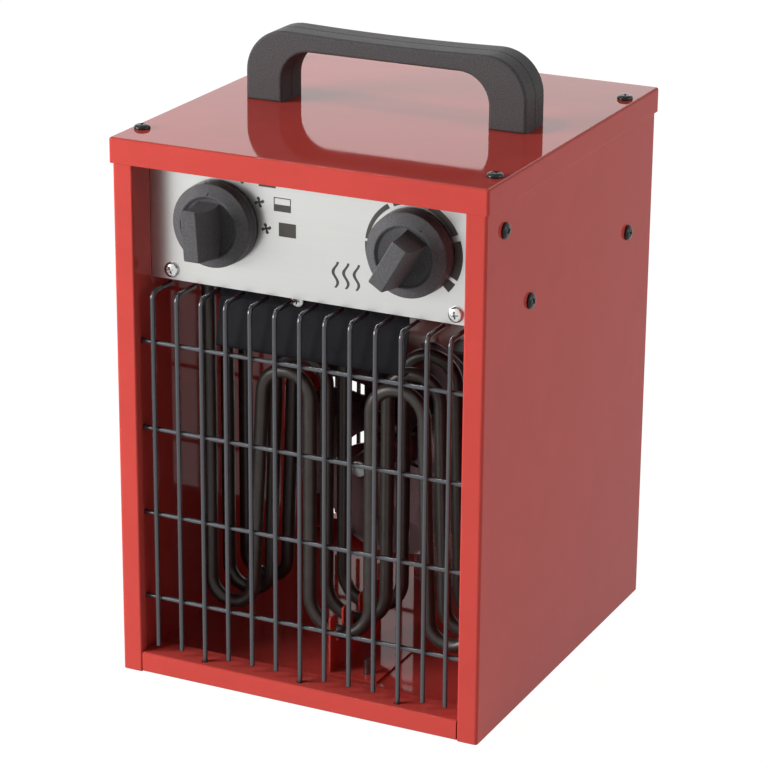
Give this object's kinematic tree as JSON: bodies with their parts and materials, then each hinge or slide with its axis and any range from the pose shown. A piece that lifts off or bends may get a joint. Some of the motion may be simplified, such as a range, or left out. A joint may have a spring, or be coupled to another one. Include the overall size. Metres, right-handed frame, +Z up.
{
  "type": "fan heater",
  "caption": "Box-shaped electric workshop fan heater with a carrying handle, two control knobs, a wire front grille, tubular heating elements and a motor-driven fan.",
  "frame": {"origin": "on the floor, under the middle of the casing", "axes": "+Z up, the grille and knobs face -Y, +X to the right as seen by someone behind the camera looking along +Y"},
  "size_m": [0.2022, 0.2396, 0.3208],
  "materials": {
    "red_paint": "gloss red powder coat",
    "black_plastic": "grained black moulding",
    "stainless": "brushed lengthwise",
    "black_paint": "semi-gloss black paint",
    "coated_wire": "semi-gloss dark grey coating",
    "element_sheath": "oxidised dark steel tube",
    "zinc": "bright zinc plate",
    "chrome": "bright plate",
    "black_screw": "gloss black plate",
    "aluminium_sheet": "bright rolled sheet",
    "lamination": "varnished steel laminations",
    "nylon": "natural nylon",
    "copper": "drawn copper",
    "rubber": "matt black rubber"
  },
  "bodies": {
    "housing": {"casing": "red_paint", "lid": "red_paint", "control_tray": "red_paint", "element_comb": "red_paint", "handle_front_half": "black_plastic", "handle_rear_half": "black_plastic", "cable_gland": "black_plastic", "gland_nut": "black_plastic", "control_plate": "stainless", "heat_baffle": "black_paint", "front_grille": "coated_wire", "rear_guard": "coated_wire", "motor_bearing_front": "zinc", "motor_bearing_rear": "zinc", "motor_mount": "zinc", "baffle_screw": "zinc", "comb_screw": "zinc", "handle_screw_left": "zinc", "handle_screw_right": "zinc", "heat_switch_body": "nylon", "thermostat_body": "nylon", "thermal_cutout": "nylon", "terminal_block": "nylon", "motor_coil": "nylon", "thermostat_bulb": "copper", "heating_element_front": "element_sheath", "element_nut_front_left": "zinc", "element_nut_front_right": "zinc", "heating_element_middle": "element_sheath", "element_nut_middle_left": "zinc", "element_nut_middle_right": "zinc", "heating_element_rear": "element_sheath", "element_nut_rear_left": "zinc", "element_nut_rear_right": "zinc", "motor_stator": "lamination", "lid_screw_1": "black_screw", "foot_1": "rubber", "lid_screw_2": "black_screw", "foot_2": "rubber", "lid_screw_3": "black_screw", "foot_3": "rubber", "lid_screw_4": "black_screw", "foot_4": "rubber", "side_screw_left_1": "black_screw", "side_screw_right_1": "black_screw", "side_screw_left_2": "black_screw", "side_screw_right_2": "black_screw", "side_screw_left_3": "black_screw", "side_screw_right_3": "black_screw", "plate_screw_left": "chrome", "plate_screw_right": "chrome"},
    "heat_control": {"heat_knob": "black_plastic", "heat_switch_shaft": "zinc"},
    "thermostat_control": {"thermostat_knob": "black_plastic", "thermostat_shaft": "zinc"},
    "fan_rotor": {"fan_impeller": "aluminium_sheet", "fan_nut": "zinc", "motor_shaft": "zinc", "motor_rotor": "aluminium_sheet"}
  },
  "joints": [
    {"name": "heat_knob_turn", "type": "hinge", "parent": "housing", "child": "heat_control", "pos_m": [-0.05, -0.0898, 0.2435], "axis": [0, 1, 0], "range_deg": [0, 90]},
    {"name": "thermostat_knob_turn", "type": "hinge", "parent": "housing", "child": "thermostat_control", "pos_m": [0.054, -0.0898, 0.2435], "axis": [0, 1, 0], "range_deg": [-167, 103]},
    {"name": "fan_spin", "type": "hinge", "parent": "housing", "child": "fan_rotor", "pos_m": [0, 0.0057, 0.106], "axis": [0, 1, 0], "continuous": true}
  ]
}
